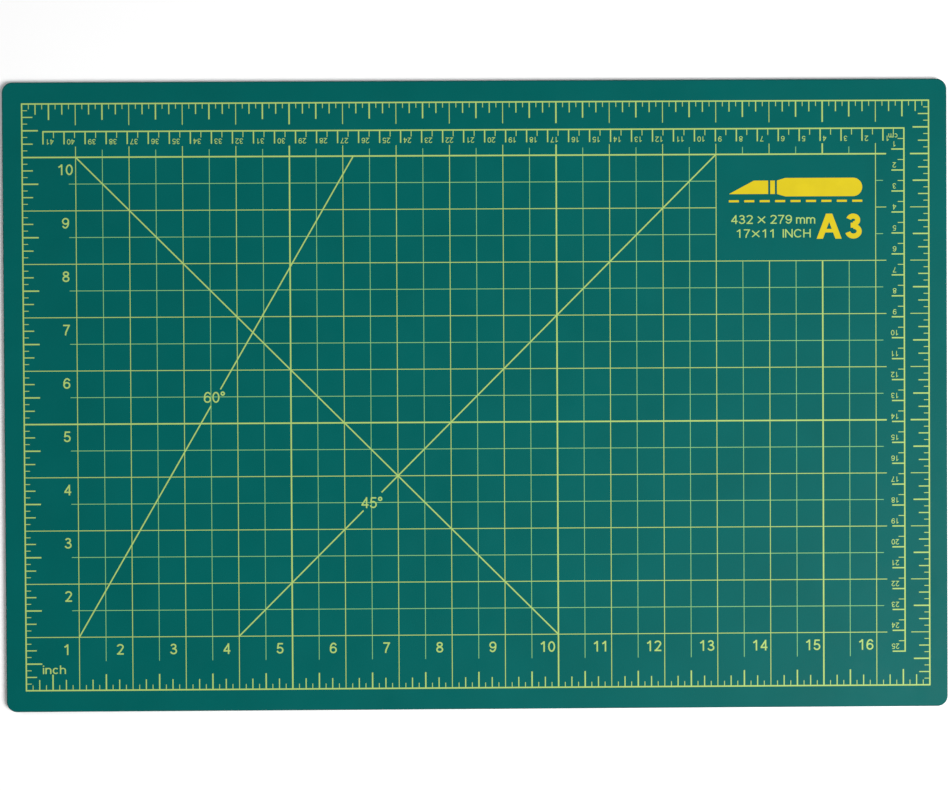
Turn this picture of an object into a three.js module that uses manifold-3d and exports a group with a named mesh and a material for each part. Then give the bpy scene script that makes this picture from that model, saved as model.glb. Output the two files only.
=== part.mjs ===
// A3 self-healing cutting mat: five bonded PVC plies with a screen-printed ruling on the upper face.
//
// Millimetres, +Z up. The origin is the centre of the underside. +X runs along the long side, and
// the inch scales start at the -X and -Y sides, so the ruling reads upright from -Y.

import * as THREE from 'three';
import { mergeVertices } from 'three/addons/utils/BufferGeometryUtils.js';
import Module from 'manifold-3d';

const wasm = await Module();
wasm.setup();

// ---- Driving dimensions ----

const mmPerInch = 25.4;
const mmPerCm = 10;

// The laminate
const matLength = 450;
const matWidth = 300;
const cornerRadius = 5;
const cornerSegments = 8;
const cuttingSheetThickness = 0.9;
const bondFilmThickness = 0.15;
const coreSheetThickness = 0.9;
const matThickness = 2 * cuttingSheetThickness + 2 * bondFilmThickness + coreSheetThickness;

// The ruling: a 17 by 11 inch frame, printed a little to the right of the sheet's centre
const inkThickness = 0.05;
const frameInchesX = 17;
const frameInchesY = 11;
const printShiftX = 0.4;
const frameLeft = printShiftX - frameInchesX * mmPerInch / 2;
const frameBottom = -frameInchesY * mmPerInch / 2;

// Line weights
const heavyLine = 0.8;
const guideLine = 0.7;
const mediumLine = 0.6;
const lightLine = 0.5;
const fineLine = 0.4;

// Inch ticks, inside the frame
const ticksPerInch = 8;
const eighthTick = 0.1 * mmPerInch;
const quarterTick = 0.2 * mmPerInch;
const halfTick = 0.3 * mmPerInch;
const wholeTickTop = 0.4 * mmPerInch;
const wholeTickRight = 0.35 * mmPerInch;

// Inch grid, whose lines start on the frame's left and bottom sides and run a little past the far lines
const gridInchesX = 16;
const gridInchesY = 10;
const gridOverrun = 0.2 * mmPerInch;
const heavyEvery = 5;

// Label panel, a blank in the grid, in whole inches
const panel = { left: 13, right: 16, bottom: 8, top: 10 };

// Angle guides across the grid. Each one breaks off in the cell that holds its label.
const guides = [
  { from: [1, 10], degrees: -45, labelCell: null },
  { from: [4, 1], degrees: 45, labelCell: [6, 3] },
  { from: [1, 1], degrees: 60, labelCell: [3, 5] },
];
const leastOpening = 1; // mm2: anything smaller between two lines closes up with ink

// Centimetre scale, which counts to the left and down from its own zero
const cmZeroX = 42 * mmPerCm;
const cmZeroY = 266.2;
const cmCountX = 41;
const cmCountY = 25;
const wholeCmTick = 6;
const halfCmTick = 3;

// The panel's symbol: a craft knife over a cut line
const symbolLeft = 13.24 * mmPerInch;
const symbolRight = 15.75 * mmPerInch;
const symbolMiddle = 9.38 * mmPerInch;
const knifeHeight = 8.8;
const handleStart = symbolLeft + 23;
const handleShoulder = 4;
const bladeHeight = 6.4;
const bladeSlant = 12;
const bladeGap = 1;
const cutLineY = 9.12 * mmPerInch;

// ---- Helpers ----
// Every position on the ruling is in millimetres from the frame's lower left corner.

function inches(count) {
  return count * mmPerInch;
}

function point(x, y) {
  return new THREE.Vector2(x, y);
}

/**
 * The points of an outline's edge, without its last one, with square teeth on the right of its run.
 * A tooth of negative length is a notch.
 */
function toothedEdge(start, end, teeth) {
  const along = end.clone().sub(start).normalize();
  const out = point(along.y, -along.x);
  const points = [start];
  for (const { at, width, length } of teeth) {
    const profile = [[-width / 2, 0], [-width / 2, length], [width / 2, length], [width / 2, 0]];
    for (const [shift, rise] of profile) {
      points.push(start.clone().addScaledVector(along, at + shift).addScaledVector(out, rise));
    }
  }
  return points;
}

/** The same outline without points that repeat the one before. */
function withoutRepeats(points) {
  const tolerance = 1e-6;
  return points.filter((here, index) => {
    const before = points[(index + points.length - 1) % points.length];
    return here.distanceTo(before) > tolerance;
  });
}

function prism(outline, depth) {
  return new THREE.ExtrudeGeometry(new THREE.Shape(outline), { depth, bevelEnabled: false });
}

function solidOf(geometry) {
  geometry.deleteAttribute('normal');
  geometry.deleteAttribute('uv');
  const merged = mergeVertices(geometry);
  return new wasm.Manifold(new wasm.Mesh({
    numProp: 3,
    vertProperties: new Float32Array(merged.attributes.position.array),
    triVerts: new Uint32Array(merged.index.array),
  }));
}

/** A prism with openings cut right through it. */
function piercedPrism(outline, depth, openings) {
  let solid = solidOf(prism(outline, depth));
  for (const opening of openings) {
    const cutter = prism(opening, 3 * depth);
    cutter.translate(0, 0, -depth);
    solid = solid.subtract(solidOf(cutter));
  }
  const mesh = solid.getMesh();
  const geometry = new THREE.BufferGeometry();
  geometry.setAttribute('position', new THREE.BufferAttribute(mesh.vertProperties, 3));
  geometry.setIndex(new THREE.BufferAttribute(mesh.triVerts, 1));
  geometry.computeVertexNormals();
  return geometry;
}

/** A film of ink on the mat's face, with the given outline and openings. */
function inkFilm(name, outline, openings = []) {
  const geometry = piercedPrism(withoutRepeats(outline), inkThickness, openings.map(withoutRepeats));
  const material = new THREE.MeshStandardMaterial({ color: 0xe4cd23, roughness: 0.5, metalness: 0 });
  const mesh = new THREE.Mesh(geometry, material);
  mesh.name = name;
  mesh.position.set(frameLeft, frameBottom, matThickness);
  return mesh;
}

// ---- The plies ----

function roundedRectangle(length, width, radius) {
  const x = length / 2 - radius;
  const y = width / 2 - radius;
  const shape = new THREE.Shape();
  shape.moveTo(-x, -y - radius);
  shape.lineTo(x, -y - radius);
  shape.absarc(x, -y, radius, -Math.PI / 2, 0);
  shape.lineTo(x + radius, y);
  shape.absarc(x, y, radius, 0, Math.PI / 2);
  shape.lineTo(-x, y + radius);
  shape.absarc(-x, y, radius, Math.PI / 2, Math.PI);
  shape.lineTo(-x - radius, -y);
  shape.absarc(-x, -y, radius, Math.PI, 3 * Math.PI / 2);
  return shape;
}

/** One die-cut ply, whose underside is at the given height. */
function ply(name, height, thickness, finish) {
  const geometry = new THREE.ExtrudeGeometry(roundedRectangle(matLength, matWidth, cornerRadius), {
    depth: thickness,
    bevelEnabled: false,
    curveSegments: cornerSegments,
  });
  const mesh = new THREE.Mesh(geometry, new THREE.MeshStandardMaterial({ metalness: 0, ...finish }));
  mesh.name = name;
  mesh.position.z = height;
  return mesh;
}

function laminate() {
  const softGreen = { color: 0x0b6358, roughness: 0.6 };
  const filmGreen = { color: 0x3f7f72, roughness: 0.5 };
  const coreGrey = { color: 0xb9bdb6, roughness: 0.45 };
  const stack = [
    ['bottom_cutting_sheet', cuttingSheetThickness, softGreen],
    ['lower_bond_film', bondFilmThickness, filmGreen],
    ['core_sheet', coreSheetThickness, coreGrey],
    ['upper_bond_film', bondFilmThickness, filmGreen],
    ['top_cutting_sheet', cuttingSheetThickness, softGreen],
  ];
  let height = 0;
  const plies = [];
  for (const [name, thickness, finish] of stack) {
    plies.push(ply(name, height, thickness, finish));
    height += thickness;
  }
  return plies;
}

// ---- The inch frame and its ticks ----

/** The ticks of one side, in inches from its start, with the length of a whole-inch tick, or 0 for none. */
function inchTicks(sideInches, wholeTick) {
  const ticks = [];
  for (let step = 1; step < sideInches * ticksPerInch; step += 1) {
    const at = inches(step / ticksPerInch);
    if (step % ticksPerInch === 0) {
      const width = (step / ticksPerInch) % heavyEvery === 0 ? heavyLine : lightLine;
      ticks.push({ at, width, length: wholeTick });
    } else if (step % (ticksPerInch / 2) === 0) {
      ticks.push({ at, width: heavyLine, length: halfTick });
    } else if (step % (ticksPerInch / 4) === 0) {
      ticks.push({ at, width: mediumLine, length: quarterTick });
    } else {
      ticks.push({ at, width: fineLine, length: eighthTick });
    }
  }
  return ticks.filter((tick) => tick.length > 0);
}

/** Ticks as notches in an edge that lies a distance inside the line that they are counted along. */
function asNotches(ticks, inset) {
  return ticks.map(({ at, width, length }) => ({ at: at - inset, width, length: inset - length }));
}

/** The same ticks for an edge that runs the other way. */
function fromFarEnd(ticks, sideLength) {
  return ticks.map((tick) => ({ ...tick, at: sideLength - tick.at })).reverse();
}

function inchBorder() {
  const right = inches(frameInchesX);
  const top = inches(frameInchesY);
  const half = heavyLine / 2;
  const outline = [
    point(-half, -half),
    point(right + half, -half),
    point(right + half, top + half),
    point(-half, top + half),
  ];
  const corners = [
    point(half, half),
    point(right - half, half),
    point(right - half, top - half),
    point(half, top - half),
  ];
  const topTicks = fromFarEnd(inchTicks(frameInchesX, wholeTickTop), right);
  const leftTicks = fromFarEnd(inchTicks(frameInchesY, 0), top);
  const opening = [
    ...toothedEdge(corners[0], corners[1], asNotches(inchTicks(frameInchesX, 0), half)),
    ...toothedEdge(corners[1], corners[2], asNotches(inchTicks(frameInchesY, wholeTickRight), half)),
    ...toothedEdge(corners[2], corners[3], asNotches(topTicks, half)),
    ...toothedEdge(corners[3], corners[0], asNotches(leftTicks, half)),
  ];
  return inkFilm('inch_border_print', outline, [opening]);
}

// ---- The inch grid and the angle guides ----

function gridWeight(count) {
  return count % heavyEvery === 0 ? heavyLine : lightLine;
}

/** The grid's outer outline: its four outer lines, with the ends of all the others as teeth. */
function gridOutline() {
  const left = inches(1) - gridWeight(1) / 2;
  const bottom = inches(1) - gridWeight(1) / 2;
  const right = inches(gridInchesX) + gridWeight(gridInchesX) / 2;
  const top = inches(gridInchesY) + gridWeight(gridInchesY) / 2;
  const toFrame = left - heavyLine / 2;
  const pastRight = inches(gridInchesX) + gridOverrun - right;
  const pastTop = inches(gridInchesY) + gridOverrun - top;
  const across = [];
  for (let count = 1; count <= gridInchesX; count += 1) {
    across.push({ at: inches(count) - left, width: gridWeight(count) });
  }
  const upward = [];
  for (let count = 1; count <= gridInchesY; count += 1) {
    upward.push({ at: inches(count) - bottom, width: gridWeight(count) });
  }
  const ofLength = (teeth, length) => teeth.map((tooth) => ({ ...tooth, length }));
  return [
    ...toothedEdge(point(left, bottom), point(right, bottom), ofLength(across, toFrame)),
    ...toothedEdge(point(right, bottom), point(right, top), ofLength(upward, pastRight)),
    ...toothedEdge(point(right, top), point(left, top),
      fromFarEnd(ofLength(across, pastTop), right - left)),
    ...toothedEdge(point(left, top), point(left, bottom),
      fromFarEnd(ofLength(upward, toFrame), top - bottom)),
  ];
}

/** The opening between two pairs of grid lines. */
function openingBetween(left, right, bottom, top) {
  const x0 = inches(left) + gridWeight(left) / 2;
  const x1 = inches(right) - gridWeight(right) / 2;
  const y0 = inches(bottom) + gridWeight(bottom) / 2;
  const y1 = inches(top) - gridWeight(top) / 2;
  return [point(x0, y0), point(x1, y0), point(x1, y1), point(x0, y1)];
}

/** The part of a convex outline that lies further than a distance along a normal. */
function beyond(outline, normal, distance) {
  const kept = [];
  outline.forEach((here, index) => {
    const next = outline[(index + 1) % outline.length];
    const depthHere = here.dot(normal) - distance;
    const depthNext = next.dot(normal) - distance;
    if (depthHere >= 0) {
      kept.push(here);
    }
    if (depthHere * depthNext < 0) {
      kept.push(here.clone().lerp(next, depthHere / (depthHere - depthNext)));
    }
  });
  return kept;
}

/** The pieces of a cell that the angle guides leave open. */
function openPieces(column, row) {
  let pieces = [openingBetween(column, column + 1, row, row + 1)];
  for (const { from, degrees, labelCell } of guides) {
    const inLabelCell = labelCell !== null && labelCell[0] === column && labelCell[1] === row;
    if (!inLabelCell) {
      const angle = THREE.MathUtils.degToRad(degrees);
      const normal = point(-Math.sin(angle), Math.cos(angle));
      const line = point(inches(from[0]), inches(from[1])).dot(normal);
      pieces = pieces.flatMap((piece) => [
        beyond(piece, normal, line + guideLine / 2),
        beyond(piece, normal.clone().negate(), guideLine / 2 - line),
      ]);
      pieces = pieces.filter((piece) => Math.abs(THREE.ShapeUtils.area(piece)) > leastOpening);
    }
  }
  return pieces;
}

function inPanel(column, row) {
  return column >= panel.left && column < panel.right && row >= panel.bottom && row < panel.top;
}

function inchGrid() {
  const openings = [openingBetween(panel.left, panel.right, panel.bottom, panel.top)];
  for (let column = 1; column < gridInchesX; column += 1) {
    for (let row = 1; row < gridInchesY; row += 1) {
      if (!inPanel(column, row)) {
        openings.push(...openPieces(column, row));
      }
    }
  }
  return inkFilm('inch_grid_print', gridOutline(), openings);
}

// ---- The centimetre scale ----

/** The ticks on one rule of the scale, from its zero, up to the one that ends it. */
function cmTicks(count) {
  const ticks = [];
  for (let halves = 1; halves < 2 * count; halves += 1) {
    const whole = halves % 2 === 0;
    const length = whole ? wholeCmTick : halfCmTick;
    const width = whole ? mediumLine : fineLine;
    ticks.push({ at: halves * mmPerCm / 2, width, length });
  }
  return ticks;
}

/** Two rules from one zero at the upper right, with ticks on the side towards the grid. */
function centimetreScale() {
  const half = heavyLine / 2;
  const farX = cmZeroX - cmCountX * mmPerCm - mediumLine / 2;
  const farY = cmZeroY - cmCountY * mmPerCm - mediumLine / 2;
  const zero = point(cmZeroX - half, cmZeroY - half);
  const reach = wholeCmTick - half;
  const inset = (ticks) => ticks.map(({ at, width, length }) => (
    { at: at - half, width, length: length - half }
  ));
  const topEnd = point(farX + mediumLine, cmZeroY - half);
  const sideEnd = point(cmZeroX - half, farY + mediumLine);
  const topTicks = fromFarEnd(inset(cmTicks(cmCountX)), zero.x - topEnd.x);
  const outline = [
    point(farX, cmZeroY + half),
    point(farX, topEnd.y - reach),
    point(topEnd.x, topEnd.y - reach),
    ...toothedEdge(topEnd, zero, topTicks),
    ...toothedEdge(zero, sideEnd, inset(cmTicks(cmCountY))),
    sideEnd,
    point(sideEnd.x - reach, sideEnd.y),
    point(sideEnd.x - reach, farY),
    point(cmZeroX + half, farY),
    point(cmZeroX + half, cmZeroY + half),
  ];
  return inkFilm('centimetre_scale_print', outline);
}

// ---- The panel's symbol ----

function knifeHandle() {
  const radius = knifeHeight / 2;
  const neck = bladeHeight / 2;
  const outline = new THREE.Path();
  outline.moveTo(handleStart, symbolMiddle - neck);
  outline.lineTo(handleStart + handleShoulder, symbolMiddle - radius);
  outline.lineTo(symbolRight - radius, symbolMiddle - radius);
  outline.absarc(symbolRight - radius, symbolMiddle, radius, -Math.PI / 2, Math.PI / 2);
  outline.lineTo(handleStart + handleShoulder, symbolMiddle + radius);
  outline.lineTo(handleStart, symbolMiddle + neck);
  return inkFilm('knife_handle_print', outline.getPoints(cornerSegments));
}

function knifeBlade() {
  const root = handleStart - bladeGap;
  const low = symbolMiddle - bladeHeight / 2;
  const high = symbolMiddle + bladeHeight / 2;
  return inkFilm('knife_blade_print', [
    point(symbolLeft, low),
    point(root, low),
    point(root, high),
    point(symbolLeft + bladeSlant, high),
  ]);
}

function cutLine() {
  const half = heavyLine / 2;
  return inkFilm('cut_line_print', [
    point(symbolLeft, cutLineY - half),
    point(symbolRight, cutLineY - half),
    point(symbolRight, cutLineY + half),
    point(symbolLeft, cutLineY + half),
  ]);
}

// ---- Assembly ----

const group = new THREE.Group();
group.add(...laminate());
group.add(inchBorder());
group.add(inchGrid());
group.add(centimetreScale());
group.add(knifeHandle());
group.add(knifeBlade());
group.add(cutLine());

export default group;
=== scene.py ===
"""An A3 self-healing cutting mat on a pale table.

The CAD model gives the plies and the plain ruling. This script gives the plies their die-cut rims and PVC
grain, and prints the whole ruling on the mat: border, grid, angle guides, both scales and all numerals.
Lengths are in metres, in the frame of the CAD model, unless a name says inches or cm.
"""

import math

import bmesh
import bpy
from mathutils import Euler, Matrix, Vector
from mathutils.geometry import delaunay_2d_cdt


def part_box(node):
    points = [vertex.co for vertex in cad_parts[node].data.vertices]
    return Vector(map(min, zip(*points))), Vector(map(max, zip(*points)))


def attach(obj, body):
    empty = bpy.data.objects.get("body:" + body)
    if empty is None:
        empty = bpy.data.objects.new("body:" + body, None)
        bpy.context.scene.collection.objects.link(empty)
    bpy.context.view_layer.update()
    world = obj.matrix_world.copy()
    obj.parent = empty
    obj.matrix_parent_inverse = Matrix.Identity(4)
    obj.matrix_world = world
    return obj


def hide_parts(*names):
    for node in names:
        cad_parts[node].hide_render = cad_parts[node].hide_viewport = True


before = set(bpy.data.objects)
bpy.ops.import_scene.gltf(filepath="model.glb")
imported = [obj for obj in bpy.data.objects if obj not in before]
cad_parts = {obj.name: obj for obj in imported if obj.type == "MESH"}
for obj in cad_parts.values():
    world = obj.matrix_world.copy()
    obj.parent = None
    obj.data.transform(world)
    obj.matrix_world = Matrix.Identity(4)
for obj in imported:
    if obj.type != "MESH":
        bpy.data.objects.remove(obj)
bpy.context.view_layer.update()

INCH = 0.0254
CM = 0.01
MM = 0.001
BODY = "root"

# The laminate
CORNER_RADIUS = 5 * MM
CORNER_STEPS = 20
RIM_RADIUS = 0.6 * MM
RIM_STEPS = 6

# The ruling, in inches from the lower left corner of its frame
FRAME_X = 17
FRAME_Y = 11
GRID_X = 16
GRID_Y = 10
HEAVY_EVERY = 5
PANEL = (13, 16, 8, 10)

# The ink films reach INK_SINK into the top sheet. The half-inch lines stand FINE_STEP lower than the rest.
INK_SINK = 0.02 * MM
FINE_STEP = 0.01 * MM

# Line weights
BORDER_LINE = 0.66 * MM
HEAVY_LINE = 0.70 * MM
WHOLE_LINE = 0.38 * MM
HALF_LINE = 0.32 * MM
GUIDE_LINE = 0.62 * MM
HALF_TICK_LINE = 0.66 * MM
QUARTER_TICK_LINE = 0.52 * MM
EIGHTH_TICK_LINE = 0.36 * MM
CM_TICK_LINE = 0.61 * MM
HALF_CM_TICK_LINE = 0.38 * MM

# The centimetre scale counts left and down from its zero
CM_ZERO = (42 * CM, 26.62 * CM)
CM_COUNT_X = 41
CM_COUNT_Y = 25
CM_TICK = 6 * MM
HALF_CM_TICK = 3 * MM


# ---------------------------------------------------------------------------------------------
# Shader helpers
# ---------------------------------------------------------------------------------------------

def new_material(name, roughness, specular):
    """A Principled material and its node tree, with the values that are the same all over."""
    material = bpy.data.materials.new(name)
    material.use_nodes = True
    tree = material.node_tree
    shader = tree.nodes["Principled BSDF"]
    shader.inputs["Roughness"].default_value = roughness
    shader.inputs["Specular IOR Level"].default_value = specular
    return material, tree, shader


def noise(tree, size, detail=3.0, roughness=0.5, stretch=(1, 1, 1)):
    """Noise whose blobs are about size metres across, in the object's own coordinates."""
    coordinates = tree.nodes.new("ShaderNodeTexCoord")
    mapping = tree.nodes.new("ShaderNodeMapping")
    mapping.inputs["Scale"].default_value = stretch
    texture = tree.nodes.new("ShaderNodeTexNoise")
    texture.inputs["Scale"].default_value = 1 / size
    texture.inputs["Detail"].default_value = detail
    texture.inputs["Roughness"].default_value = roughness
    tree.links.new(coordinates.outputs["Object"], mapping.inputs["Vector"])
    tree.links.new(mapping.outputs["Vector"], texture.inputs["Vector"])
    return texture.outputs["Fac"]


def cells(tree, size):
    """Pebbles about size metres across: 0 in their middles, up to 1 between them."""
    coordinates = tree.nodes.new("ShaderNodeTexCoord")
    texture = tree.nodes.new("ShaderNodeTexVoronoi")
    texture.inputs["Scale"].default_value = 1 / size
    tree.links.new(coordinates.outputs["Object"], texture.inputs["Vector"])
    return texture.outputs["Distance"]


def spread(tree, value, low, high, lowest=0.3, highest=0.7):
    """value, mapped from lowest..highest to low..high."""
    mapped = tree.nodes.new("ShaderNodeMapRange")
    mapped.inputs["From Min"].default_value = lowest
    mapped.inputs["From Max"].default_value = highest
    mapped.inputs["To Min"].default_value = low
    mapped.inputs["To Max"].default_value = high
    tree.links.new(value, mapped.inputs["Value"])
    return mapped.outputs["Result"]


def blend_colours(tree, factor, first, second):
    """A mix of two colours, each a socket or an (r, g, b)."""
    mix = tree.nodes.new("ShaderNodeMix")
    mix.data_type = "RGBA"
    tree.links.new(factor, mix.inputs["Factor"])
    for name, colour in (("A", first), ("B", second)):
        socket = next(s for s in mix.inputs if s.name == name and s.type == "RGBA")
        if isinstance(colour, tuple):
            socket.default_value = (*colour, 1)
        else:
            tree.links.new(colour, socket)
    return next(s for s in mix.outputs if s.type == "RGBA")


def bump(tree, height, depth, under=None):
    """A bump of the given depth in metres from a height of 0 to 1, over another bump if there is one."""
    node = tree.nodes.new("ShaderNodeBump")
    node.inputs["Distance"].default_value = depth
    tree.links.new(height, node.inputs["Height"])
    if under is not None:
        tree.links.new(under, node.inputs["Normal"])
    return node.outputs["Normal"]


def level(tree):
    """1 on level faces, falling to 0 over the rounded rim and staying 0 on the upright edge: the mask of the
    painted shade on the rim and edge.
    """
    geometry = tree.nodes.new("ShaderNodeNewGeometry")
    split = tree.nodes.new("ShaderNodeSeparateXYZ")
    size = tree.nodes.new("ShaderNodeMath")
    size.operation = "ABSOLUTE"
    tree.links.new(geometry.outputs["True Normal"], split.inputs["Vector"])
    tree.links.new(split.outputs["Z"], size.inputs[0])
    return spread(tree, size.outputs["Value"], 0, 1, 0.6, 0.995)


# ---------------------------------------------------------------------------------------------
# Materials
# ---------------------------------------------------------------------------------------------

def soft_pvc():
    """Matt green PVC: a fine pebbled grain on its faces, and painted shade on the die-cut rim and edge,
    coloured darker and greyer the further they tilt from level.
    """
    material, tree, shader = new_material("soft_green_pvc", 0.40, 0.045)
    face = level(tree)
    mottle = spread(tree, noise(tree, 35 * MM, detail=4), 0, 1)
    green = blend_colours(tree, mottle, (0.0002, 0.089, 0.081), (0.0004, 0.099, 0.091))
    speck = spread(tree, noise(tree, 0.5 * MM, detail=2), 0, 0.5, 0.45, 0.75)
    green = blend_colours(tree, speck, green, (0.0008, 0.115, 0.105))
    # Painted shade: the rounded rim and upright edge take a darker, greyer colour by how far they tilt from
    # level.
    colour = blend_colours(tree, face, (0.012, 0.050, 0.050), green)
    tree.links.new(colour, shader.inputs["Base Color"])
    tree.links.new(spread(tree, noise(tree, 9 * MM), 0.36, 0.44), shader.inputs["Roughness"])
    grain = bump(tree, cells(tree, 0.45 * MM), 0.02 * MM)
    grain = bump(tree, noise(tree, 0.16 * MM, detail=2), 0.008 * MM, grain)
    tree.links.new(grain, shader.inputs["Normal"])
    return material


def edge_pvc(name, colour, streak, roughness):
    """A ply that only shows on the mat's edge, drawn along Z by the cutting die."""
    material, tree, shader = new_material(name, roughness, 0.3)
    lines = noise(tree, 0.6 * MM, detail=3, stretch=(1, 1, 0.15))
    shade = blend_colours(tree, spread(tree, lines, 0, 1), colour, streak)
    tree.links.new(shade, shader.inputs["Base Color"])
    tree.links.new(bump(tree, lines, 0.03 * MM), shader.inputs["Normal"])
    return material


def printed_ink(name, colour):
    """Screen ink: slightly uneven in density, and settled into the grain that it covers."""
    material, tree, shader = new_material(name, 0.4, 0.1)
    density = spread(tree, noise(tree, 6 * MM, detail=5), 0, 1)
    thin = tuple(0.94 * part for part in colour)
    tree.links.new(blend_colours(tree, density, thin, colour), shader.inputs["Base Color"])
    tree.links.new(spread(tree, noise(tree, 2 * MM), 0.36, 0.46), shader.inputs["Roughness"])
    grain = bump(tree, cells(tree, 0.45 * MM), 0.012 * MM)
    tree.links.new(grain, shader.inputs["Normal"])
    return material


def table_top():
    """A plain pale table, nearly white, with a trace of unevenness."""
    material, tree, shader = new_material("pale_table", 0.7, 0.2)
    cloud = spread(tree, noise(tree, 0.4), 0, 1)
    shade = blend_colours(tree, cloud, (0.92, 0.92, 0.92), (0.94, 0.94, 0.94))
    tree.links.new(shade, shader.inputs["Base Color"])
    tree.links.new(bump(tree, noise(tree, 2 * MM), 0.01 * MM), shader.inputs["Normal"])
    return material


# ---------------------------------------------------------------------------------------------
# The plies
# ---------------------------------------------------------------------------------------------

def rounded_outline(low, high, inset):
    """An anticlockwise rectangle with round corners, pulled in all round by inset."""
    radius = CORNER_RADIUS - inset
    corners = (
        (high[0] - CORNER_RADIUS, low[1] + CORNER_RADIUS, -90),
        (high[0] - CORNER_RADIUS, high[1] - CORNER_RADIUS, 0),
        (low[0] + CORNER_RADIUS, high[1] - CORNER_RADIUS, 90),
        (low[0] + CORNER_RADIUS, low[1] + CORNER_RADIUS, 180),
    )
    points = []
    for x, y, start in corners:
        for step in range(CORNER_STEPS + 1):
            angle = math.radians(start + 90 * step / CORNER_STEPS)
            points.append((x + radius * math.cos(angle), y + radius * math.sin(angle)))
    return points


def rim_profile(low, high, round_below, round_above):
    """(inset, height) pairs from the bottom of a ply's edge to its top."""
    turns = [math.radians(90 * step / RIM_STEPS) for step in range(RIM_STEPS + 1)]
    profile = []
    if round_below:
        for turn in turns:
            profile.append((RIM_RADIUS * (1 - math.sin(turn)), low + RIM_RADIUS * (1 - math.cos(turn))))
    else:
        profile.append((0, low))
    if round_above:
        for turn in turns:
            profile.append((RIM_RADIUS * (1 - math.cos(turn)), high - RIM_RADIUS * (1 - math.sin(turn))))
    else:
        profile.append((0, high))
    return profile


def ply(name, node, material, slot, round_below=False, round_above=False, recess=0.0):
    """One die-cut ply in place of its CAD node."""
    low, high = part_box(node)
    shape = bmesh.new()
    rings = []
    for inset, height in rim_profile(low[2], high[2], round_below, round_above):
        outline = rounded_outline(low, high, inset + recess)
        rings.append([shape.verts.new((x, y, height)) for x, y in outline])
    for below, above in zip(rings, rings[1:]):
        for index, vert in enumerate(below):
            after = (index + 1) % len(below)
            side = shape.faces.new((vert, below[after], above[after], above[index]))
            side.smooth = True
    shape.faces.new(reversed(rings[0]))
    shape.faces.new(rings[-1])
    return finish_piece(shape, name, material, slot, node)


def finish_piece(shape, name, material, slot, *nodes):
    """Turns a bmesh into a piece of the object that rides on the body and stands for CAD nodes."""
    mesh = bpy.data.meshes.new(name)
    bmesh.ops.recalc_face_normals(shape, faces=shape.faces)
    shape.to_mesh(mesh)
    shape.free()
    mesh.materials.append(material)
    piece = bpy.data.objects.new(name, mesh)
    bpy.context.scene.collection.objects.link(piece)
    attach(piece, BODY)
    if nodes:
        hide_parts(*nodes)
    return piece


# ---------------------------------------------------------------------------------------------
# Ink shapes: every shape is a list of convex outlines, in metres from the frame's lower left corner
# ---------------------------------------------------------------------------------------------

ARC_STEP = 12


def stroke(points, weight, closed=False):
    """A line of even weight along points, with square ends and mitred corners, as a list of outlines."""
    path = [Vector(p) for p in points]
    count = len(path)
    left = []
    right = []
    for index, here in enumerate(path):
        before = path[index - 1] if closed or index > 0 else None
        after = path[(index + 1) % count] if closed or index < count - 1 else None
        into = (here - before).normalized() if before is not None else (after - here).normalized()
        out = (after - here).normalized() if after is not None else into
        across = Vector((-into.y - out.y, into.x + out.x)).normalized()
        reach = weight / 2 / max(0.5, across.dot(Vector((-out.y, out.x))))
        left.append(here + across * reach)
        right.append(here - across * reach)
    pieces = []
    for index in range(count if closed else count - 1):
        after = (index + 1) % count
        pieces.append([right[index], right[after], left[after], left[index]])
    return pieces


def line(x0, y0, x1, y1, weight):
    return stroke([(x0, y0), (x1, y1)], weight)


def arc(x, y, radius_x, radius_y, start, end):
    """Points on an ellipse from start to end, in degrees anticlockwise from +X."""
    steps = max(3, round(abs(end - start) / ARC_STEP))
    points = []
    for step in range(steps + 1):
        angle = math.radians(start + (end - start) * step / steps)
        points.append((x + radius_x * math.cos(angle), y + radius_y * math.sin(angle)))
    return points


def place(pieces, x, y, scale=1.0, turn=0.0, stretch=1.0):
    """The same outlines scaled, turned by turn degrees and moved."""
    angle = math.radians(turn)
    placed = []
    for outline in pieces:
        moved = []
        for point in outline:
            u = point[0] * scale * stretch
            v = point[1] * scale
            moved.append((x + u * math.cos(angle) - v * math.sin(angle),
                          y + u * math.sin(angle) + v * math.cos(angle)))
        placed.append(moved)
    return placed


def ink(name, material, groups, *nodes, thinner=0.0):
    """Prints groups of overlapping outlines as one piece. Each group is joined into one flat region."""
    origin, top = ink_frame()
    bottom = top - INK_THICKNESS - INK_SINK
    shape = bmesh.new()
    for pieces in groups:
        add_film(shape, pieces, origin, bottom, top - thinner)
    return finish_piece(shape, name, material, "printed_ink", *nodes)


def add_film(shape, pieces, origin, bottom, top):
    """Joins outlines into one region and adds it to shape as a closed film."""
    verts = []
    faces = []
    for outline in pieces:
        faces.append(list(range(len(verts), len(verts) + len(outline))))
        verts.extend(Vector((p[0], p[1])) for p in outline)
    flat, _, parts, _, _, sources = delaunay_2d_cdt(verts, [], faces, 0, 1e-8, True)
    triangles = [part for part, source in zip(parts, sources) if source]
    used = sorted({index for triangle in triangles for index in triangle})
    upper = {}
    lower = {}
    for index in used:
        x = origin[0] + flat[index].x
        y = origin[1] + flat[index].y
        upper[index] = shape.verts.new((x, y, top))
        lower[index] = shape.verts.new((x, y, bottom))
    directed = set()
    for triangle in triangles:
        shape.faces.new([upper[index] for index in triangle])
        shape.faces.new([lower[index] for index in reversed(triangle)])
        for position, index in enumerate(triangle):
            directed.add((index, triangle[(position + 1) % len(triangle)]))
    for start, end in directed:
        if (end, start) not in directed:
            shape.faces.new((upper[start], lower[start], lower[end], upper[end]))


def ink_frame():
    """The frame's lower left corner on the mat, and the height of the ink's face."""
    low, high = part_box("inch_border_print")
    return (low[0] + BORDER_CAD_HALF, low[1] + BORDER_CAD_HALF), high[2]


# ---------------------------------------------------------------------------------------------
# Glyphs: plain sans-serif strokes on a cap height of 1
# ---------------------------------------------------------------------------------------------

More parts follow.
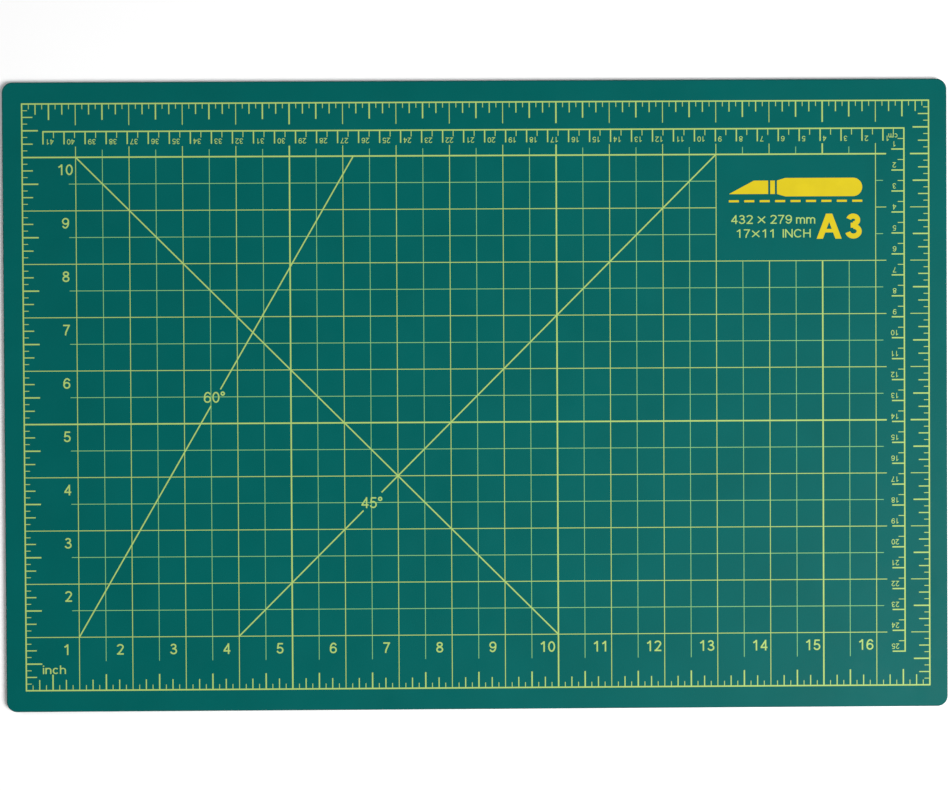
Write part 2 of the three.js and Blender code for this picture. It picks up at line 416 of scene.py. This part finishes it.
DIGIT_WIDTH = 0.66
MIDDLE = DIGIT_WIDTH / 2
X_HEIGHT = 0.725
SIDE_BEARING = 0.058


def bar(x0, y0, x1, y1):
    """A straight stroke of a glyph: its points, and False because it is open."""
    return [(x0, y0), (x1, y1)], False


def bend(points):
    """An open stroke of a glyph."""
    return points, False


def ring(x, y, radius_x, radius_y):
    """A closed oval stroke of a glyph."""
    return arc(x, y, radius_x, radius_y, 0, 360 - ARC_STEP), True


# Each of these takes half the stroke's weight, and returns the glyph's strokes and its width.

def zero(half):
    return [ring(MIDDLE, 0.5, MIDDLE - half, 0.5 - half)], DIGIT_WIDTH


def one(half):
    return [bend([(0.10, 0.735), (0.24, 0.80), (0.375, 1 - half)]), bar(0.40, 0, 0.40, 1)], DIGIT_WIDTH


def two(half):
    bowl = arc(MIDDLE, 0.72, MIDDLE - half, 0.28 - half, 168, -38)
    slope = [(0.36, 0.33), (0.14, half + 0.02)]
    return [bend(bowl + slope), bar(0.02, half, DIGIT_WIDTH, half)], DIGIT_WIDTH


def three(half):
    upper = arc(MIDDLE - 0.01, 0.745, MIDDLE - half - 0.05, 0.255 - half, 165, -90)
    lower = arc(MIDDLE, 0.295, MIDDLE - half, 0.295 - half, 90, -168)
    return [bend(upper), bend(lower), bar(0.22, 0.535, MIDDLE, 0.535)], DIGIT_WIDTH


def four(half):
    slope = bar(0.49, 1 - half, 0.06, 0.30)
    return [slope, bar(0.02, 0.29, DIGIT_WIDTH, 0.29), bar(0.49, 0, 0.49, 1)], DIGIT_WIDTH


def five(half):
    flag = [(0.60, 1 - half), (0.17, 1 - half), (0.10, 0.45)]
    bowl = arc(MIDDLE - 0.01, 0.325, MIDDLE - half, 0.325 - half, 128, -166)
    return [bend(flag), bend(bowl)], DIGIT_WIDTH


def six(half):
    stem = arc(MIDDLE + 0.03, 0.46, MIDDLE + 0.03 - half, 0.54 - half, 180, 38)
    return [ring(MIDDLE, 0.32, MIDDLE - half, 0.32 - half), bend([(half, 0.34)] + stem)], DIGIT_WIDTH


def seven(half):
    leg = [(DIGIT_WIDTH - half - 0.01, 1 - half), (0.42, 0.58), (0.29, 0.30), (0.24, 0)]
    return [bar(0.03, 1 - half, DIGIT_WIDTH, 1 - half), bend(leg)], DIGIT_WIDTH


def eight(half):
    upper = ring(MIDDLE, 0.755, MIDDLE - half - 0.04, 0.245 - half)
    lower = ring(MIDDLE, 0.285, MIDDLE - half, 0.285 - half)
    return [upper, lower], DIGIT_WIDTH


def nine(half):
    """A six, turned half round."""
    strokes, width = six(half)
    return [([(width - x, 1 - y) for x, y in points], closed) for points, closed in strokes], width


def small_i(half):
    return [bar(half, 0, half, X_HEIGHT), bar(half, 0.86, half, 1)], 2 * half


def arch(half, stem):
    """A stem of the given height with an arch springing from its right side."""
    width = 0.58
    shoulder = arc(width / 2, 0.44, width / 2 - half, X_HEIGHT - half - 0.44, 180, 0)
    return [bar(half, 0, half, stem), bend(shoulder + [(width - half, 0)])], width


def small_n(half):
    return arch(half, X_HEIGHT)


def small_h(half):
    return arch(half, 1)


def small_m(half):
    width = 0.92
    reach = (width - 2 * half) / 4
    strokes = [bar(half, 0, half, X_HEIGHT)]
    for foot in (half + 2 * reach, half + 4 * reach):
        shoulder = arc(foot - reach, 0.46, reach, X_HEIGHT - half - 0.46, 180, 0)
        strokes.append(bend(shoulder + [(foot, 0)]))
    return strokes, width


def small_c(half):
    middle = X_HEIGHT / 2
    return [bend(arc(0.30, middle, 0.30 - half, middle - half, 42, 318))], 0.58


def capital_i(half):
    return [bar(half, 0, half, 1)], 2 * half


def capital_n(half):
    right = 0.78 - half
    slope = bar(half, 1 - 0.6 * half, right, 0.6 * half)
    return [bar(half, 0, half, 1), bar(right, 0, right, 1), slope], 0.78


def capital_c(half):
    return [bend(arc(0.43, 0.5, 0.43 - half, 0.5 - half, 38, 322))], 0.84


def capital_h(half):
    right = 0.76 - half
    return [bar(half, 0, half, 1), bar(right, 0, right, 1), bar(half, 0.52, right, 0.52)], 0.76


def times(_):
    return [bar(0.10, 0.09, 0.84, 0.83), bar(0.10, 0.83, 0.84, 0.09)], 0.94


def degree(_):
    return [ring(0.18, 0.84, 0.14, 0.14)], 0.36


GLYPHS = {
    "0": zero, "1": one, "2": two, "3": three, "4": four,
    "5": five, "6": six, "7": seven, "8": eight, "9": nine,
    "i": small_i, "n": small_n, "c": small_c, "h": small_h, "m": small_m,
    "I": capital_i, "N": capital_n, "C": capital_c, "H": capital_h,
    "x": times, "'": degree,
}


def broad_a(x, y, height):
    """A broad capital A with flat feet and a flat top, from its lower left corner."""
    width = 1.0
    leg = 0.25
    top_left = (width - leg) / 2
    top = [(top_left + leg, 1), (top_left, 1)]
    left_leg = [(0, 0), (leg, 0)] + top
    right_leg = [(width - leg, 0), (width, 0)] + top
    return place([left_leg, right_leg] + line(0.2, 0.32, width - 0.2, 0.32, 0.14), x, y, height)


def text(words, x, y, height, weight=0.125, turn=0.0, align=0.0, stretch=1.0):
    """Words as outlines, with x, y at the baseline. align is 0 for the left, 0.5 the middle, 1 the right."""
    pieces = []
    pen = 0.0
    for sign in words:
        if sign == " ":
            pen += 0.30
            continue
        strokes, width = GLYPHS[sign](weight / 2)
        for points, closed in strokes:
            pieces += place(stroke(points, weight, closed), pen + SIDE_BEARING, 0)
        pen += width + 2 * SIDE_BEARING
    shifted = place(pieces, -pen * align, 0)
    return place(shifted, x, y, height, turn, stretch)


# ---------------------------------------------------------------------------------------------
# The ruling
# ---------------------------------------------------------------------------------------------

def grid_weight(halves):
    """The weight of a grid line at a count of half inches."""
    if halves % 2:
        return HALF_LINE
    return HEAVY_LINE if (halves // 2) % HEAVY_EVERY == 0 else WHOLE_LINE


def inch_tick(eighths, whole_length):
    """(length in inches, weight) of the border tick at a count of eighths."""
    if eighths % 8 == 0:
        heavy = (eighths // 8) % HEAVY_EVERY == 0
        return whole_length, HEAVY_LINE if heavy else WHOLE_LINE
    if eighths % 4 == 0:
        return 0.3, HALF_TICK_LINE
    if eighths % 2 == 0:
        return 0.2, QUARTER_TICK_LINE
    return 0.1, EIGHTH_TICK_LINE


def border():
    """The inch frame with its ticks. The left and bottom sides have grid lines at the whole inches."""
    right = FRAME_X * INCH
    top = FRAME_Y * INCH
    corner = BORDER_LINE / 2
    pieces = []
    for y in (0, top):
        pieces += line(-corner, y, right + corner, y, BORDER_LINE)
    for x in (0, right):
        pieces += line(x, -corner, x, top + corner, BORDER_LINE)
    for eighths in range(1, FRAME_X * 8):
        x = eighths * INCH / 8
        length, weight = inch_tick(eighths, 0.4)
        pieces += line(x, top - length * INCH, x, top, weight)
        length, weight = inch_tick(eighths, 0)
        if length:
            pieces += line(x, 0, x, length * INCH, weight)
    for eighths in range(1, FRAME_Y * 8):
        y = eighths * INCH / 8
        length, weight = inch_tick(eighths, 0.35)
        pieces += line(right - length * INCH, y, right, y, weight)
        length, weight = inch_tick(eighths, 0)
        if length:
            pieces += line(0, y, length * INCH, y, weight)
    return pieces


def runs(halves, start, end, blank, across):
    """The stretches of a grid line: one, or two if it meets the blank panel, whose span is across."""
    if across[0] < halves / 2 < across[1]:
        return [(start, blank[0]), (blank[1], end)]
    return [(start, end)]


def grid(first, start_x, start_y, overrun):
    """Every second line of the half-inch grid, counted in half inches from first. All lengths are inches.

    Upright lines start at start_y, level lines at start_x, and both overrun the far side.
    """
    left, right, bottom, top = PANEL
    pieces = []
    for halves in range(first, 2 * GRID_X + 1, 2):
        x = halves * INCH / 2
        for low, high in runs(halves, start_y, GRID_Y + overrun, (bottom, top), (left, right)):
            pieces += line(x, low * INCH, x, high * INCH, grid_weight(halves))
    for halves in range(first, 2 * GRID_Y + 1, 2):
        y = halves * INCH / 2
        for low, high in runs(halves, start_x, GRID_X + overrun, (left, right), (bottom, top)):
            pieces += line(low * INCH, y, high * INCH, y, grid_weight(halves))
    return pieces


def whole_inch_grid():
    """The whole-inch lines, which start at the frame."""
    frame_edge = BORDER_LINE / 2 / INCH
    return grid(2, frame_edge, frame_edge, 0.20)


def half_inch_grid():
    """The finer half-inch lines, which start clear of the frame's ticks and numerals."""
    return grid(3, 0.87, 0.55, 0.14)


def angle_guides():
    """Two 45 degree guides and one of 60 degrees, broken for their labels, with the labels."""
    sixty = math.tan(math.radians(60))
    strokes = (
        (1, 10, 10, 1),
        (4, 1, 6.35, 3.35),
        (6.69, 3.69, 13, 10),
        (1, 1, 3.50, 1 + 2.50 * sixty),
        (3.68, 1 + 2.68 * sixty, 1 + 9 / sixty, 10),
    )
    pieces = []
    for x0, y0, x1, y1 in strokes:
        pieces += line(x0 * INCH, y0 * INCH, x1 * INCH, y1 * INCH, GUIDE_LINE)
    pieces += text("45'", 6.295 * INCH, 3.395 * INCH, 0.205 * INCH)
    pieces += text("60'", 3.355 * INCH, 5.39 * INCH, 0.205 * INCH)
    return pieces


def centimetre_scale():
    """Two rules from one zero with ticks towards the grid, closed by a whole-centimetre tick at each end."""
    zero_x, zero_y = CM_ZERO
    corner = BORDER_LINE / 2
    far_x = zero_x - CM_COUNT_X * CM
    far_y = zero_y - CM_COUNT_Y * CM
    end = CM_TICK_LINE / 2
    pieces = line(far_x - end, zero_y, zero_x + corner, zero_y, BORDER_LINE)
    pieces += line(zero_x, far_y - end, zero_x, zero_y + corner, BORDER_LINE)
    for halves in range(1, 2 * CM_COUNT_X + 1):
        length, weight = (HALF_CM_TICK, HALF_CM_TICK_LINE) if halves % 2 else (CM_TICK, CM_TICK_LINE)
        x = zero_x - halves * CM / 2
        pieces += line(x, zero_y - length, x, zero_y, weight)
        if halves <= 2 * CM_COUNT_Y:
            y = zero_y - halves * CM / 2
            pieces += line(zero_x - length, y, zero_x, y, weight)
    pieces += text("cm", 16.33 * INCH, 10.38 * INCH, 0.105 * INCH, turn=180, align=0.5)
    return pieces


def inch_numerals():
    """1 to 16 along the bottom and 2 to 10 up the left side, each group one number."""
    height = 0.2 * INCH
    numbers = []
    for count in range(1, GRID_X + 1):
        centre = count - (0.235 if count < 10 else 0.207)
        numbers.append(text(str(count), centre * INCH, 0.668 * INCH, height, 0.135, align=0.5))
    for count in range(2, GRID_Y + 1):
        numbers.append(text(str(count), 0.803 * INCH, (count - 0.332) * INCH, height, 0.135, align=0.5))
    return numbers


def centimetre_numerals():
    """1 to 41 along the top and 1 to 25 down the right side, upside down, each group one number."""
    height = 0.1 * INCH
    zero_x, zero_y = CM_ZERO
    numbers = []
    for count in range(1, CM_COUNT_X + 1):
        offset = 0.085 if count < 10 else 0.127
        x = zero_x - count * CM + offset * INCH
        numbers.append(text(str(count), x, 10.34 * INCH, height, turn=180, align=0.5))
    for count in range(1, CM_COUNT_Y + 1):
        y = zero_y - count * CM + 0.145 * INCH
        numbers.append(text(str(count), 16.355 * INCH, y, height, turn=180, align=0.5))
    return numbers


def unit_word():
    return [text("inch", 0.30 * INCH, 0.312 * INCH, 0.16 * INCH, stretch=1.22)]


# ---------------------------------------------------------------------------------------------
# The label panel: a craft knife over a dashed cut line, and the mat's sizes
# ---------------------------------------------------------------------------------------------

SYMBOL_LEFT = 13.24 * INCH
SYMBOL_RIGHT = 15.75 * INCH
SYMBOL_MIDDLE = 9.38 * INCH


def knife_symbol():
    """A knife lying along X, its blade to the left: blade, collar and handle are separate groups."""
    radius = 4.4 * MM
    neck = 3.2 * MM
    handle_start = SYMBOL_LEFT + 22 * MM
    blade = [
        (SYMBOL_LEFT, SYMBOL_MIDDLE - neck),
        (handle_start - 3.2 * MM, SYMBOL_MIDDLE - neck),
        (handle_start - 3.2 * MM, SYMBOL_MIDDLE + neck),
        (SYMBOL_LEFT + 12 * MM, SYMBOL_MIDDLE + neck),
    ]
    collar = [
        (handle_start - 2.2 * MM, SYMBOL_MIDDLE - neck),
        (handle_start, SYMBOL_MIDDLE - neck),
        (handle_start, SYMBOL_MIDDLE + neck),
        (handle_start - 2.2 * MM, SYMBOL_MIDDLE + neck),
    ]
    end = arc(SYMBOL_RIGHT - radius, SYMBOL_MIDDLE, radius, radius, -90, 90)
    handle = [(handle_start + 1 * MM, SYMBOL_MIDDLE - neck), (handle_start + 5 * MM, SYMBOL_MIDDLE - radius)]
    handle += end
    handle += [(handle_start + 5 * MM, SYMBOL_MIDDLE + radius), (handle_start + 1 * MM, SYMBOL_MIDDLE + neck)]
    return [[blade], [collar], [handle]]


def cut_dashes():
    """The dashed line under the knife."""
    count = 9
    pitch = (SYMBOL_RIGHT - SYMBOL_LEFT) / (count - 0.35)
    y = 9.12 * INCH
    return [line(SYMBOL_LEFT + index * pitch, y, SYMBOL_LEFT + (index + 0.65) * pitch, y, 1.0 * MM)
            for index in range(count)]


def size_text():
    """The size of the ruled area, in millimetres over inches."""
    return [
        text("432 x 279 mm", 13.27 * INCH, 8.695 * INCH, 0.165 * INCH, stretch=1.12),
        text("17x11  INCH", 13.36 * INCH, 8.435 * INCH, 0.158 * INCH, stretch=1.17),
    ]


def paper_size():
    """The paper size that the mat matches, A3, in broad characters."""
    height = 0.47 * INCH
    return [broad_a(14.89 * INCH, 8.41 * INCH, height), text("3", 15.40 * INCH, 8.41 * INCH, height, 0.20)]


# ---------------------------------------------------------------------------------------------
# Stage
# ---------------------------------------------------------------------------------------------

def camera():
    """Nearly straight above the mat, as the photograph is."""
    data = bpy.data.cameras.new("camera")
    data.lens = 80
    data.sensor_width = 36
    data.clip_start = 0.01
    data.clip_end = 100
    eye = bpy.data.objects.new("camera", data)
    eye.location = (-0.00947, 0.01382, 1.00997)
    eye.rotation_euler = Euler([math.radians(angle) for angle in (-0.784, -0.500, -0.309)])
    bpy.context.scene.collection.objects.link(eye)
    bpy.context.scene.camera = eye


def soft_box(name, location, size, power):
    """A square area light aimed at the mat's centre."""
    data = bpy.data.lights.new(name, "AREA")
    data.shape = "SQUARE"
    data.size = size
    data.energy = power
    lamp = bpy.data.objects.new(name, data)
    lamp.location = location
    lamp.rotation_euler = Vector(location).to_track_quat("Z", "Y").to_euler()
    bpy.context.scene.collection.objects.link(lamp)


def studio():
    """A bright soft box to the lower right, a weak one to the upper left, and a pale surround."""
    soft_box("right_soft_box", (0.80, -0.45, 1.2), 0.8, 30)
    soft_box("left_soft_box", (-1.7, 0.8, 1.4), 1.2, 15)
    world = bpy.data.worlds.new("pale_surround")
    world.use_nodes = True
    surround = world.node_tree.nodes["Background"]
    surround.inputs["Color"].default_value = (1, 1, 1, 1)
    surround.inputs["Strength"].default_value = 0.15
    bpy.context.scene.world = world
    bpy.context.scene.view_settings.view_transform = "Standard"


def table():
    """A wide flat table under the mat."""
    shape = bmesh.new()
    bmesh.ops.create_grid(shape, x_segments=8, y_segments=8, size=6)
    mesh = bpy.data.meshes.new("table")
    shape.to_mesh(mesh)
    shape.free()
    mesh.materials.append(table_top())
    top = bpy.data.objects.new("table", mesh)
    bpy.context.scene.collection.objects.link(top)


# ---------------------------------------------------------------------------------------------
# Assembly
# ---------------------------------------------------------------------------------------------

BORDER_CAD_HALF = 0.4 * MM
INK_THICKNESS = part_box("inch_border_print")[1][2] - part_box("top_cutting_sheet")[1][2]
SOFT = soft_pvc()
FILM = edge_pvc("bond_film_green", (0.03, 0.16, 0.13), (0.05, 0.21, 0.17), 0.4)
CORE = edge_pvc("hard_grey_pvc", (0.42, 0.44, 0.41), (0.52, 0.54, 0.50), 0.45)
SOLID_INK = printed_ink("solid_ink", (0.60, 0.475, 0.010))
RULE_INK = printed_ink("rule_ink", (0.36, 0.515, 0.145))
FINE_INK = printed_ink("fine_ink", (0.205, 0.455, 0.180))

camera()
studio()
table()

ply("bottom_sheet", "bottom_cutting_sheet", SOFT, "soft_pvc", round_below=True)
ply("lower_film", "lower_bond_film", FILM, "bond_film", recess=0.06 * MM)
ply("core", "core_sheet", CORE, "hard_core", recess=0.1 * MM)
ply("upper_film", "upper_bond_film", FILM, "bond_film", recess=0.06 * MM)
ply("top_sheet", "top_cutting_sheet", SOFT, "soft_pvc", round_above=True)

ink("inch_border", RULE_INK, [border()], "inch_border_print")
ink("inch_grid", RULE_INK, [whole_inch_grid() + angle_guides()], "inch_grid_print")
ink("half_inch_lines", FINE_INK, [half_inch_grid()], thinner=FINE_STEP)
ink("cm_scale", RULE_INK, [centimetre_scale()], "centimetre_scale_print")
ink("inch_numerals", RULE_INK, inch_numerals() + unit_word())
ink("cm_numerals", RULE_INK, centimetre_numerals())
ink("knife_symbol", SOLID_INK, knife_symbol(), "knife_handle_print", "knife_blade_print")
ink("cut_dashes", SOLID_INK, cut_dashes(), "cut_line_print")
ink("size_text", RULE_INK, size_text())
ink("paper_size", SOLID_INK, paper_size())
